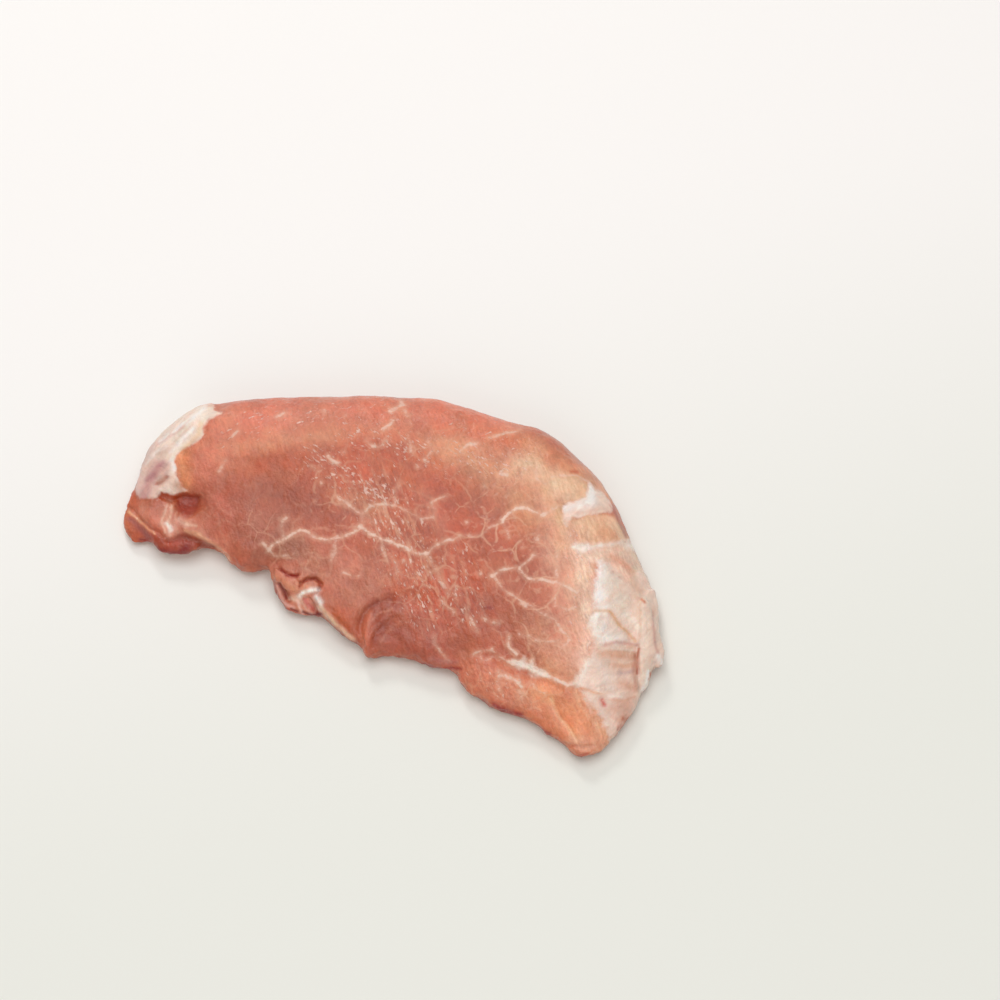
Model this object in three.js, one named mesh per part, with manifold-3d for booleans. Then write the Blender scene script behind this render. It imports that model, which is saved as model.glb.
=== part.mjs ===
// A raw pork schnitzel: one thick slice cut across the muscle, lying on its flat cut side.
// Millimetres, +Z up. X runs along the slice, the arched edge faces +Y and the torn, straighter edge -Y.
// The origin lies on the surface under the slice, at the middle of its length and width.

import * as THREE from "three";
import { ImprovedNoise } from "three/addons/math/ImprovedNoise.js";
import { mergeVertices } from "three/addons/utils/BufferGeometryUtils.js";
import Module from "manifold-3d";

const { smoothstep, lerp, clamp, degToRad } = THREE.MathUtils;

// Thickness: full over the back and the middle, thinner towards the torn edge.
const THICK = 15;
const THIN = 8;
const THIN_Y = -43;
const THICK_Y = 4;

// The widest line of the rim runs this high above the resting surface, in a narrow upright band.
const WAIST = 4;
const BAND = 1.4;
// Below the waist the rim tucks in over this width, and the flat underside starts.
const TUCK = 4.5;
// The underside is modelled this far below the resting surface, and cut off flat there.
const SINK = 1;

// Cells of the grid that covers each broad face, along X and across it.
const CELLS_LONG = 88;
const CELLS_WIDE = 36;
// Share of even spacing in the grid; the rest crowds the lines towards the rim.
const EVEN = 0.7;
// Samples taken on each of the four edges, for measuring how far a point is from the rim.
const EDGE_SAMPLES = 220;
// Samples taken along each groove, for the same.
const GROOVE_SAMPLES = 40;
// Points closer than this are one point.
const MERGE = 1e-4;

// The slice's plan is a four-sided patch. Each edge has its points in order and, at evenly spread places,
// the width of the sloped rim and how square its shoulder is: 1 is a straight slope, 2 a quarter round.
const EDGES = {
  front: {
    points: [
      [-58, -43], [-54.5, -39.8], [-50, -37.2], [-45, -36.6], [-39.5, -38.8], [-34.5, -37], [-31, -34.4],
      [-24, -36], [-15, -38.6], [-6, -40.4], [0.5, -41.9], [5.5, -42.4], [9, -44.6], [12, -41.4],
      [18, -38.4], [26, -37.6], [31, -35.4], [35, -38.2], [42, -39.6], [49, -39.9], [57, -38.2],
      [64, -39.2], [70, -39.8], [74.5, -41.2],
    ],
    slope: [5, 4, 4, 3.5, 4, 5, 11, 13, 13],
    shoulder: [2, 1.8, 1.7, 1.7, 1.7, 1.7, 1.5, 1.4, 1.4],
  },
  right: {
    points: [
      [74.5, -41.2], [79, -37], [81, -29.5], [81.6, -22], [80.8, -15], [79.4, -8], [77.4, -1.5],
      [74.3, 5.5], [70, 12.6], [64.5, 18.4], [58.6, 23], [52.6, 28], [46.4, 33], [40, 37.4],
    ],
    slope: [13, 16, 17, 17, 16, 14, 12, 10],
    shoulder: [1.4, 1.25, 1.2, 1.2, 1.25, 1.3, 1.6, 1.9],
  },
  back: {
    points: [
      [-72.5, 3.6], [-66.5, 9.4], [-58, 15.4], [-48.8, 20.8], [-37.4, 27.8], [-26.8, 33.4], [-17, 38.2],
      [-11, 39.2], [-1.6, 40.8], [7.9, 42.4], [14.5, 44.2], [21, 43.8], [27.8, 41.8], [35, 39.4], [40, 37.4],
    ],
    slope: [10, 12, 12, 11, 10, 10],
    shoulder: [2, 2, 2, 2, 2, 1.9],
  },
  left: {
    points: [
      [-58, -43], [-64, -43.4], [-70, -40.6], [-75.4, -36], [-79.2, -30.6], [-81.6, -25], [-83, -18.2],
      [-82, -10.6], [-79.6, -4.3], [-76.6, 0.8], [-72.5, 3.6],
    ],
    slope: [5, 7, 10, 12, 12, 10],
    shoulder: [2, 2, 2, 2, 2, 2],
  },
};

// Broad swellings and hollows of the upper face: place, half lengths along and across, turn, and height.
const SWELLS = [
  { x: -2, y: 4, long: 62, wide: 24, turn: 14, lift: 1 },
  { x: -34, y: 9, long: 40, wide: 8, turn: 30, lift: 0.9 },
  { x: 24, y: 27, long: 26, wide: 8, turn: -8, lift: 0.7 },
  { x: -6, y: -6, long: 34, wide: 9, turn: 18, lift: -0.6 },
  { x: 48, y: -8, long: 16, wide: 18, turn: 0, lift: 0.8 },
  // the swollen left end, and the pocket and the roll under it
  { x: -68, y: -10, long: 9, wide: 14, turn: 0, lift: 1.6 },
  { x: -61.5, y: -29, long: 5, wide: 3, turn: 16, lift: -3.4 },
  { x: -40, y: -27, long: 14, wide: 7, turn: 0, lift: 1.2 },
  // the hollow beside the pointed tip, and the notch in the fat of the right shoulder
  { x: 13, y: -35, long: 8, wide: 4, turn: 20, lift: -1.5 },
  { x: 56, y: 12, long: 9, wide: 4, turn: -40, lift: -0.9 },
];

// Grooves and, with a minus depth, ridges: a line across the face, its half width and its depth.
const GROOVES = [
  // the fat seam that parts the lower muscle from the main one
  { points: [[32, -31], [39, -28], [48, -27.6], [57, -26.4], [66, -25]], width: 2.6, depth: 1.2 },
  // the fold that runs down to the pointed tip, and the ridge between its two arcs
  { points: [[13, -25], [8, -27.2], [5, -30.8], [3, -35], [3.6, -40]], width: 2, depth: 1.5 },
  { points: [[14, -29], [9, -31.5], [6.8, -35], [7.2, -40]], width: 1.7, depth: -0.9 },
  // the step from the meat down to the fat skin of the left end
  { points: [[-69, 2], [-70.5, -6], [-69, -13], [-71.5, -20], [-67, -26]], width: 1.8, depth: 0.8 },
  // the crease between that skin and the roll below it
  { points: [[-81, -27], [-74, -30], [-67, -30], [-60, -27]], width: 2, depth: 1.4 },
];

// Places where the underside is lifted off the surface, like the swells of the upper face.
const LIFTED = [
  { x: -48, y: -38, long: 9, wide: 6, turn: 0, lift: 2.6 },
  { x: -33, y: -35, long: 5, wide: 4, turn: 0, lift: 1.2 },
  { x: -81, y: -14, long: 5, wide: 14, turn: 0, lift: 1.4 },
];

// Strips that hang on the rim: a centre line, and half sizes across it, in the plan and upright.
const STRIPS = [
  // the thin lower lobe at the left end
  {
    points: [[-79.6, -27, 4], [-76.2, -35, 2.8], [-71.2, -42.8, 2], [-66, -43, 2.8]],
    across: 4,
    upright: 2.4,
  },
  // the rolled flap along the lower left
  {
    points: [[-75, -33, 5.4], [-67.5, -38, 5.6], [-59.4, -41.2, 4.2], [-51, -33.8, 6.8]],
    across: 4.8,
    upright: 3.2,
  },
  // the torn, curled scraps over the notch
  {
    points: [[-32, -33, 6.4], [-27, -35.6, 6.6], [-21.6, -36, 7], [-15, -33.4, 7.4]],
    across: 3,
    upright: 2.2,
  },
  {
    points: [[-27.6, -34.6, 4.4], [-23.4, -38.6, 3.4], [-17.4, -39.8, 3], [-10, -37.6, 3.2]],
    across: 3,
    upright: 2.6,
  },
  {
    points: [[-19, -36.4, 6.6], [-14.4, -35.2, 7.6], [-8, -37.4, 6.2], [2, -40.4, 4.6]],
    across: 2.4,
    upright: 2,
  },
  // the fat flap down the right end, and the tail beside it
  {
    points: [[64, 9.4, 10.6], [70.6, 2.8, 9.6], [75.4, -5, 7.6], [79, -13.6, 4.4]],
    across: 3.4,
    upright: 1.6,
  },
  {
    points: [[70, 4, 8.6], [76, -0.6, 6.8], [79.8, -4, 5.2], [81.4, -6.4, 4.4]],
    across: 2.2,
    upright: 1.4,
  },
];
// Faces of a strip, along it and round it.
const STRIP_RINGS = 12;
const STRIP_SIDES = 8;

// Unevenness of the upper face, of the width of the tuck and of the strips: each with its wavelength,
// its amount, in mm for the face and as a share for the others, and its own layer of the noise.
const FACE_UNEVEN = [
  { wave: 17, amount: 0.7, layer: 0.3 },
  { wave: 9, amount: 0.4, layer: 1.7 },
];
const TUCK_UNEVEN = { wave: 11, amount: 0.6, layer: 3.1 };
const STRIP_UNEVEN = { wave: 5, amount: 0.35, layer: 6.2 };

const noise = new ImprovedNoise();

const uneven = (x, y, { wave, amount, layer }) => amount * noise.noise(x / wave, y / wave, layer);

const total = (values) => values.reduce((sum, value) => sum + value, 0);

const plane = (points) => new THREE.SplineCurve(points.map(([x, y]) => new THREE.Vector2(x, y)));

// Value at share t of a list of evenly spread values.
function along(values, t) {
  const place = clamp(t, 0, 1) * (values.length - 1);
  const first = Math.min(Math.floor(place), values.length - 2);
  return lerp(values[first], values[first + 1], place - first);
}

const edges = Object.fromEntries(
  Object.entries(EDGES).map(([name, edge]) => [name, { ...edge, curve: plane(edge.points) }]),
);

const rimSamples = Object.values(edges).flatMap((edge) =>
  Array.from({ length: EDGE_SAMPLES + 1 }, (_, i) => {
    const t = i / EDGE_SAMPLES;
    const { x, y } = edge.curve.getPointAt(t);
    return { x, y, slope: along(edge.slope, t), shoulder: along(edge.shoulder, t) };
  }),
);

// How far a point of the plan is from the rim, with the rim's slope and shoulder where it is nearest.
function nearestRim(x, y) {
  let best = rimSamples[0];
  let shortest = Infinity;
  for (const sample of rimSamples) {
    const gap = Math.hypot(sample.x - x, sample.y - y);
    if (gap < shortest) {
      shortest = gap;
      best = sample;
    }
  }
  return { ...best, gap: shortest };
}

// Rises from 0 at the rim to 1 once the given width is crossed.
function shoulderRise(gap, width, power) {
  const left = 1 - clamp(gap / width, 0, 1);
  return (1 - left ** power) ** (1 / power);
}

function swell(x, y, { x: cx, y: cy, long, wide, turn, lift }) {
  const angle = degToRad(turn);
  const u = ((x - cx) * Math.cos(angle) + (y - cy) * Math.sin(angle)) / long;
  const v = ((y - cy) * Math.cos(angle) - (x - cx) * Math.sin(angle)) / wide;
  return lift * Math.exp(-(u * u + v * v));
}

const grooveLines = GROOVES.map((groove) => {
  const line = plane(groove.points).getSpacedPoints(GROOVE_SAMPLES);
  return { ...groove, line };
});

function grooveDepth(x, y, { line, width, depth }) {
  const gap = Math.min(...line.map((p) => Math.hypot(p.x - x, p.y - y)));
  return -depth * Math.exp(-((gap / width) ** 2));
}

function upperHeight(x, y) {
  const rim = nearestRim(x, y);
  const rise = shoulderRise(rim.gap, rim.slope, rim.shoulder);
  const full = lerp(THIN, THICK, smoothstep(y, THIN_Y, THICK_Y));
  const relief =
    total(SWELLS.map((one) => swell(x, y, one))) +
    total(grooveLines.map((one) => grooveDepth(x, y, one))) +
    total(FACE_UNEVEN.map((one) => uneven(x, y, one)));
  const rest = WAIST + BAND / 2;
  return rest + (full - rest + relief) * rise;
}

function lowerHeight(x, y) {
  const rim = nearestRim(x, y);
  const tuck = TUCK * (1 + uneven(x, y, TUCK_UNEVEN));
  const rest = WAIST - BAND / 2;
  const lifted = total(LIFTED.map((one) => swell(x, y, one)));
  return rest - (rest + SINK - lifted) * shoulderRise(rim.gap, tuck, 2);
}

// Coons patch over the four edges; u runs from left to right and v from front to back, both 0 to 1.
function planPoint(u, v) {
  const [front, back] = [edges.front.curve.getPointAt(u), edges.back.curve.getPointAt(u)];
  const [left, right] = [edges.left.curve.getPointAt(v), edges.right.curve.getPointAt(v)];
  const corner = (name, t) => edges[name].curve.getPointAt(t);
  const blend = (axis) =>
    lerp(front[axis], back[axis], v) +
    lerp(left[axis], right[axis], u) -
    lerp(
      lerp(corner("front", 0)[axis], corner("front", 1)[axis], u),
      lerp(corner("back", 0)[axis], corner("back", 1)[axis], u),
      v,
    );
  return [blend("x"), blend("y")];
}

// Turns an even place from -1 to 1 into one from 0 to 1 that crowds towards both ends.
const crowd = (t) => 0.5 + 0.5 * lerp(Math.sin((t * Math.PI) / 2), t, EVEN);

// A box with a fine grid, laid over the plan. Its top becomes the upper face, its sides the waist's band.
function sliceGeometry() {
  const box = new THREE.BoxGeometry(2, 2, 2, CELLS_LONG, CELLS_WIDE, 1);
  const place = box.getAttribute("position");
  for (let i = 0; i < place.count; i++) {
    const [x, y] = planPoint(crowd(place.getX(i)), crowd(place.getY(i)));
    const z = place.getZ(i) > 0 ? upperHeight(x, y) : lowerHeight(x, y);
    place.setXYZ(i, x, y, z);
  }
  return box;
}

// A strip of meat or fat: a sphere whose poles are the strip's two ends, drawn out along its line.
function stripGeometry({ points, across, upright }) {
  const line = new THREE.CatmullRomCurve3(points.map((p) => new THREE.Vector3(...p)));
  const sphere = new THREE.SphereGeometry(1, STRIP_SIDES, STRIP_RINGS);
  const place = sphere.getAttribute("position");
  for (let i = 0; i < place.count; i++) {
    const t = Math.acos(clamp(place.getY(i), -1, 1)) / Math.PI;
    const centre = line.getPointAt(t);
    const ahead = line.getTangentAt(t);
    const side = new THREE.Vector3(-ahead.y, ahead.x, 0).normalize();
    const wobble = 1 + uneven(centre.x, centre.y, STRIP_UNEVEN);
    // the square root keeps the strip's width nearly to its ends
    const radius = Math.sqrt(Math.hypot(place.getX(i), place.getZ(i))) * wobble;
    const angle = Math.atan2(place.getZ(i), place.getX(i));
    centre.addScaledVector(side, across * radius * Math.cos(angle));
    centre.z += upright * radius * Math.sin(angle);
    place.setXYZ(i, centre.x, centre.y, centre.z);
  }
  return sphere;
}

const wasm = await Module();
wasm.setup();

function solid(geometry) {
  const bare = geometry.clone();
  bare.deleteAttribute("normal");
  bare.deleteAttribute("uv");
  const merged = mergeVertices(bare, MERGE);
  return new wasm.Manifold(
    new wasm.Mesh({
      numProp: 3,
      vertProperties: new Float32Array(merged.getAttribute("position").array),
      triVerts: new Uint32Array(merged.getIndex().array),
    }),
  );
}

function geometryOf(manifold) {
  const mesh = manifold.getMesh();
  const geometry = new THREE.BufferGeometry();
  geometry.setAttribute("position", new THREE.BufferAttribute(mesh.vertProperties, 3));
  geometry.setIndex(new THREE.BufferAttribute(mesh.triVerts, 1));
  geometry.computeVertexNormals();
  return geometry;
}

// Moves a geometry along X and Y so that the origin is at the middle of its length and width.
function centred(geometry) {
  geometry.computeBoundingBox();
  const middle = geometry.boundingBox.getCenter(new THREE.Vector3());
  return geometry.translate(-middle.x, -middle.y, 0);
}

// Everything under the resting surface, to cut the underside flat.
const FLOOR_BLOCK = [400, 400, 40];
const floorBlock = new THREE.BoxGeometry(...FLOOR_BLOCK).translate(0, 0, -FLOOR_BLOCK[2] / 2);

const schnitzelSolid = STRIPS.reduce(
  (whole, strip) => whole.add(solid(stripGeometry(strip))),
  solid(sliceGeometry()),
).subtract(solid(floorBlock));

const meat = new THREE.MeshStandardMaterial({ color: 0xcd8570, roughness: 0.45, metalness: 0 });
const schnitzel = new THREE.Mesh(centred(geometryOf(schnitzelSolid)), meat);
schnitzel.name = "schnitzel";

const group = new THREE.Group();
group.add(schnitzel);

export default group;
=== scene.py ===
# %% [markdown]
# A raw pork schnitzel, dressed for its picture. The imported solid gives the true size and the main
# forms: the arched back, the sloping end, the torn front edge and its flaps. It is the frame that
# everything here is fitted to. What is missing is what makes it meat: torn lips and creases, the
# marbling, the fat and skin, the grain and the wet sheen. So the steps are: load the frame, set up
# the camera, make a fine mesh over the solid, sculpt it, paint it, and light it.

# %% Load the frame
import math

import bmesh
import bpy
import numpy as np
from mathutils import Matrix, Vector, noise


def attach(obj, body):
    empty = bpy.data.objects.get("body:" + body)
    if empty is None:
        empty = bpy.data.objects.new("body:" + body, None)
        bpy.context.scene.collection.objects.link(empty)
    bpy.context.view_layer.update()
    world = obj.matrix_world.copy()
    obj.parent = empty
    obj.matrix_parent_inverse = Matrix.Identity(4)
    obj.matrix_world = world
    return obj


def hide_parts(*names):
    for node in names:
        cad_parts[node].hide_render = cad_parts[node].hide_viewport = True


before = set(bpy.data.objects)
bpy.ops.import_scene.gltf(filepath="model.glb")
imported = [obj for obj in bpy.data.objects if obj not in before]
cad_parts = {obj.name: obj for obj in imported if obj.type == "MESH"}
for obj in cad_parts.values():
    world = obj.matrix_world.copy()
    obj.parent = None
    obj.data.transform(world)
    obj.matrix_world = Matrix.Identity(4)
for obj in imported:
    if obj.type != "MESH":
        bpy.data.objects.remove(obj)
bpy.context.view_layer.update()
NODE = "schnitzel"
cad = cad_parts[NODE]

# %% [markdown]
# The camera comes first, because the marks on the meat are read off the photograph in pixels, and the
# camera says where on the slice each pixel falls. The slice was tilted up there. It lies flat here,
# so the camera looks down on it more steeply, and its face shows as it did. Keeping the camera's
# directions as plain vectors lets the same numbers aim it and turn places into pixels.

# %% Place the camera
AZIMUTH = math.radians(30)
ELEVATION = math.radians(60)
DISTANCE = 0.690
AIM = Vector((0.01708, 0.01800, 0.00767))
LENS = 85
SENSOR = 36
PICTURE = 1000

TO_CAMERA = Vector((
    math.sin(AZIMUTH) * math.cos(ELEVATION),
    -math.cos(AZIMUTH) * math.cos(ELEVATION),
    math.sin(ELEVATION),
))
RIGHT = Vector((math.cos(AZIMUTH), math.sin(AZIMUTH), 0))
UP = TO_CAMERA.cross(RIGHT)
EYE = AIM + DISTANCE * TO_CAMERA

camera_data = bpy.data.cameras.new("camera")
camera_data.lens = LENS
camera_data.sensor_width = SENSOR
camera_data.clip_start = 0.01
camera = bpy.data.objects.new("camera", camera_data)
camera.location = EYE
camera.rotation_mode = "QUATERNION"
camera.rotation_quaternion = (-TO_CAMERA).to_track_quat("-Z", "Y")
bpy.context.scene.collection.objects.link(camera)
bpy.context.scene.camera = camera


def pixels_of(places):
    """The picture's pixel columns and rows of places, given in metres as an array of rows x, y, z."""
    offset = places - np.array(EYE)
    depth = -(offset @ np.array(TO_CAMERA))
    scale = PICTURE * LENS / SENSOR / depth
    column = PICTURE / 2 + offset @ np.array(RIGHT) * scale
    row = PICTURE / 2 - offset @ np.array(UP) * scale
    return np.stack([column, row], axis=1)


MM_PER_PIXEL = 1000 * DISTANCE * SENSOR / LENS / PICTURE
print("one pixel covers", round(MM_PER_PIXEL, 3), "mm at the slice")

# %% [markdown]
# The solid has flat facets, and a seam wherever a flap was fused on. A voxel remesh turns it into an
# even skin of small squares that flows over those seams, and a little smoothing takes the steps out.
# Subdivision surfaces would have kept the seams as creases. The face that shows is then divided
# once more, and the torn places twice, so that the sculpting has points where the detail is.

# %% Make an even skin over the solid
VOXEL = 0.00112
SMOOTH_PASSES = 4
BASE_LEVEL = 0.0003


def merged_copy(source, name):
    """A copy of a node's mesh with its doubled points merged, as an object of its own."""
    mesh = source.data.copy()
    shape = bmesh.new()
    shape.from_mesh(mesh)
    bmesh.ops.remove_doubles(shape, verts=shape.verts, dist=1e-6)
    shape.to_mesh(mesh)
    shape.free()
    mesh.materials.clear()
    copy = bpy.data.objects.new(name, mesh)
    bpy.context.scene.collection.objects.link(copy)
    return copy


def apply_modifiers(piece):
    """Replaces a piece's mesh by what its modifiers make of it."""
    ready = piece.evaluated_get(bpy.context.evaluated_depsgraph_get())
    made = bpy.data.meshes.new_from_object(ready)
    piece.modifiers.clear()
    piece.data = made


meat = merged_copy(cad, "sliced_pork")
remesh = meat.modifiers.new("even skin", "REMESH")
remesh.mode = "VOXEL"
remesh.voxel_size = VOXEL
remesh.adaptivity = 0
apply_modifiers(meat)
print("even skin:", len(meat.data.polygons), "faces")

# %% Smooth it, and divide it where it shows
# Frames round the torn places, in the picture's pixels: left, top, right, bottom.
TORN_PLACES = {
    "roll and lobe at the left end": (122, 488, 230, 564),
    "scraps over the notch": (268, 562, 350, 640),
    "fold with the pointed tip": (354, 598, 400, 662),
    "fat flap on the right": (628, 600, 668, 698),
}
FACING_UP = 0.05
FACING_AWAY = -0.3


def smooth_above_base(shape, passes):
    """Evens the skin out, but leaves the flat underside where it is."""
    above = [v for v in shape.verts if v.co.z > BASE_LEVEL]
    for _ in range(passes):
        bmesh.ops.smooth_vert(
            shape, verts=above, factor=0.5, use_axis_x=True, use_axis_y=True, use_axis_z=True
        )
    shape.normal_update()


def divide_faces(shape, is_wanted):
    """Divides all the faces that are wanted, once each way."""
    edges = {edge for face in shape.faces if is_wanted(face) for edge in face.edges}
    bmesh.ops.subdivide_edges(shape, edges=list(edges), cuts=1, use_grid_fill=True)


def faces_up(face):
    return face.normal.z > FACING_UP


def in_torn_place(face):
    if face.normal.dot(TO_CAMERA) < FACING_AWAY:
        return False
    column, row = pixels_of(np.array([face.calc_center_median()]))[0]
    return any(x0 < column < x1 and y0 < row < y1 for x0, y0, x1, y1 in TORN_PLACES.values())


shape = bmesh.new()
shape.from_mesh(meat.data)
smooth_above_base(shape, SMOOTH_PASSES)
divide_faces(shape, faces_up)
divide_faces(shape, in_torn_place)
bmesh.ops.triangulate(shape, faces=[face for face in shape.faces if len(face.verts) > 4])
smooth_above_base(shape, 1)
shape.to_mesh(meat.data)
shape.free()
meat.data.calc_loop_triangles()
print("fine mesh:", len(meat.data.vertices), "points,", len(meat.data.loop_triangles), "triangles")

# %% [markdown]
# The brushes. Every mark, raised or painted, is either a line or an area that is drawn in the
# picture's pixels, and each point of the mesh asks how far away it lies. That is how one sculpts by
# hand on a reference picture, and it stays readable, where a displacement image would not. Points
# that face away from the camera are left out, unless an area is meant to wrap round the rim.

# %% Distances to lines and areas
def mesh_places():
    """The places of all the meat's points, as an array in metres."""
    places = np.empty(len(meat.data.vertices) * 3)
    meat.data.vertices.foreach_get("co", places)
    return places.reshape(-1, 3)


def mesh_normals():
    normals = np.empty(len(meat.data.vertices) * 3)
    meat.data.vertex_normals.foreach_get("vector", normals)
    return normals.reshape(-1, 3)


def gap_to_line(pixels, line, closed=False):
    """How many pixels each point lies from a line through the given corners."""
    corners = np.array(line, dtype=float)
    following = np.roll(corners, -1, axis=0)
    if not closed:
        corners, following = corners[:-1], following[:-1]
    nearest = np.full(len(pixels), np.inf)
    for start, end in zip(corners, following):
        along = end - start
        share = np.clip((pixels - start) @ along / max(along @ along, 1e-9), 0, 1)
        gap = np.linalg.norm(pixels - start - share[:, None] * along, axis=1)
        nearest = np.minimum(nearest, gap)
    return nearest


def depth_in_area(pixels, outline):
    """How many pixels each point lies inside an outline; less than nothing outside it."""
    corners = np.array(outline, dtype=float)
    following = np.roll(corners, -1, axis=0)
    inside = np.zeros(len(pixels), dtype=bool)
    for (x0, y0), (x1, y1) in zip(corners, following):
        if y0 == y1:
            continue
        crosses = (y0 > pixels[:, 1]) != (y1 > pixels[:, 1])
        side = x0 + (pixels[:, 1] - y0) * (x1 - x0) / (y1 - y0)
        inside ^= crosses & (pixels[:, 0] < side)
    gap = gap_to_line(pixels, outline, closed=True)
    return np.where(inside, gap, -gap)


def step_up(value, low, high):
    """Rises smoothly from 0 at low to 1 at high."""
    share = np.clip((value - low) / (high - low), 0, 1)
    return share * share * (3 - 2 * share)


def stroke_share(pixels, line, width):
    """1 on the line of a stroke, and less and less beside it."""
    return np.exp(-((gap_to_line(pixels, line) / width) ** 2))


def unevenness(places, wave, seed):
    """A smooth random value for each place, from about -1 to 1; wave is its size in metres."""
    shift = Vector((seed * 3.7, seed * 1.3, seed * 2.1))
    return np.array([noise.noise(Vector(place) / wave + shift) for place in places])


def wandering(places, wave, seed):
    """Two such values for each place: a shift across the picture and one down it."""
    return np.stack([unevenness(places, wave, seed), unevenness(places, wave, seed + 1)], axis=1)


# %% [markdown]
# The sculpting. Lines are creases and ridges; areas are patches that stand proud or sink in, such as
# the fat, which is a layer on the meat, and the pocket under it. Heights are in millimetres and widths
# in pixels. The small unevenness comes last: the muscle swells between its membranes, and the cut
# across the grain leaves a fine, soft roughness.

# %% Creases and ridges
CREASES = {
    "under the fat of the left end": ([(160, 496), (172, 500), (184, 497), (197, 499)], 2.6, -0.9),
    "edge of the pocket": ([(198, 498), (198, 506), (194, 513)], 3.4, -0.15),
    "between the roll and the lobe": ([(131, 508), (140, 517), (150, 527), (162, 536)], 2.0, -0.6),
    "under the lip of the roll": ([(168, 541), (184, 537), (200, 543), (218, 551)], 3.2, -0.9),
    "lip of the roll": ([(183, 528), (196, 533), (210, 540), (224, 550)], 2.4, 0.5),
    "above the torn tongue": ([(279, 568), (285, 573), (291, 576), (297, 575)], 1.7, -1.0),
    "above the torn flap": ([(302, 583), (308, 579), (315, 578), (321, 584), (319, 590)], 1.6, -1.0),
    "behind the thin lip": ([(279, 584), (284, 591), (288, 600)], 2.4, -1.3),
    "white curl": ([(302, 594), (309, 591), (317, 591)], 1.8, 0.6),
    "white tail": ([(317, 597), (321, 604), (330, 615), (341, 628), (352, 639)], 2.2, 0.7),
    "inner curl": ([(303, 600), (306, 607), (312, 612), (319, 615)], 1.6, 0.5),
    "hollow of the curl": ([(308, 598), (312, 604), (316, 610)], 1.8, -0.8),
    "opening under the curl": ([(307, 618), (314, 620)], 2.0, -1.0),
    "outer arc of the fold": (
        [(392, 599), (380, 602), (370, 607), (364, 614), (361, 624), (361, 634), (363, 644)], 3.0, -0.5),
    "ridge of the fold": ([(374, 611), (368, 621), (366, 634), (367, 648), (367, 657)], 3.0, 0.6),
    "inner arc of the fold": ([(394, 617), (384, 625), (376, 631), (373, 638), (372, 647)], 2.8, -0.45),
    "below the fat seam": ([(474, 655), (492, 656), (510, 668), (533, 677), (560, 689)], 3.0, -0.5),
    "along the right wall": ([(612, 617), (620, 625), (626, 632), (631, 640)], 2.8, -0.3),
    "high on the right wall": ([(610, 571), (621, 580), (631, 585), (640, 594)], 3.2, -0.25),
    "under the fat flap": ([(638, 647), (637, 662), (638, 677), (640, 690)], 2.4, -0.5),
    "slit in the fat": ([(602, 700), (604, 706)], 1.6, -0.5),
    "slit in the left fat": ([(158, 485), (163, 481), (167, 478)], 2.0, -0.6),
    "first swirl of the lobe": ([(574, 690), (579, 702), (585, 713), (592, 723)], 3.4, -0.4),
    "second swirl of the lobe": ([(549, 699), (556, 712), (566, 726), (576, 739)], 3.4, -0.4),
    "lip at the lowest tip": ([(566, 751), (574, 754), (584, 754), (590, 751)], 2.6, 0.9),
    "above that lip": ([(564, 744), (573, 746), (582, 748), (592, 747)], 2.0, -0.6),
}

# %% Patches that stand proud or sink in
LEFT_FAT = [
    (206, 405), (212, 405), (215, 410), (219, 413), (222, 412), (217, 417), (208, 420), (204, 426),
    (202, 434), (197, 441), (190, 447), (181, 451), (177, 456), (176, 463), (175, 471), (178, 480),
    (182, 488), (188, 491), (180, 493), (175, 495), (161, 492), (157, 496), (146, 499), (139, 500),
    (136, 490), (135, 466), (138, 452), (148, 438), (162, 424), (182, 410),
]
FAT_NOTCH = [
    (590, 482), (595, 488), (604, 495), (609, 501), (612, 510), (604, 513), (592, 513), (578, 516),
    (571, 520), (566, 527), (564, 517), (563, 506), (569, 502), (580, 500), (584, 497), (587, 492),
]
WALL_FAT = [
    (597, 560), (605, 562), (616, 573), (626, 580), (640, 571), (652, 578), (666, 600), (668, 640),
    (668, 668), (650, 672), (650, 696), (638, 712), (622, 720), (613, 742), (606, 728), (598, 712),
    (589, 704), (581, 690), (573, 684), (579, 675), (584, 666), (589, 656), (593, 650), (594, 640),
    (590, 625), (594, 605), (595, 590), (598, 575),
]
FAT_FLAP = [
    (640, 606), (645, 590), (664, 590), (664, 640), (668, 652), (668, 660), (666, 668), (656, 667),
    (651, 669), (650, 677), (646, 684), (641, 690), (639, 683), (639, 664), (638, 648), (640, 636),
]
POCKET = [(177, 500), (185, 498), (195, 499), (198, 503), (195, 512), (189, 516), (180, 517), (176, 508)]
TORN_TONGUE = [
    (274, 569), (281, 571), (288, 576), (296, 578), (301, 584), (301, 590), (296, 592), (288, 590),
    (281, 586), (275, 580),
]
TORN_FLAP = [(303, 585), (308, 581), (315, 580), (320, 584), (318, 589), (309, 590), (302, 592)]
FOLD_HOLLOW = [(376, 634), (385, 629), (399, 635), (405, 645), (396, 652), (383, 653), (374, 648)]

# name: outline, height in mm, softness of its edge in pixels, and whether it wraps round the rim
PATCHES = {
    "fat of the left end": (LEFT_FAT, 0.45, 2.4, True),
    "fat on the right shoulder": (FAT_NOTCH, 0.35, 2.4, True),
    "fat on the right wall": (WALL_FAT, 0.35, 2.6, True),
    "fat flap": (FAT_FLAP, 0.8, 1.6, True),
    "pocket": (POCKET, -0.5, 4.5, False),
    "torn tongue": (TORN_TONGUE, 0.7, 1.8, False),
    "torn flap": (TORN_FLAP, 0.6, 1.6, False),
    "hollow beside the fold": (FOLD_HOLLOW, -0.6, 4.0, False),
}

# %% Sculpt
# The meat's own unevenness: size of the waves and height of the relief, both in mm, and its seed.
WAVES = [(14, 0.30, 1), (6, 0.22, 2), (2.6, 0.12, 3), (1.3, 0.07, 4)]
# How far a drawn line wavers, in pixels, in waves of this many metres.
LINE_WOBBLE = 1.6
LINE_WAVE = 0.004
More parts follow.
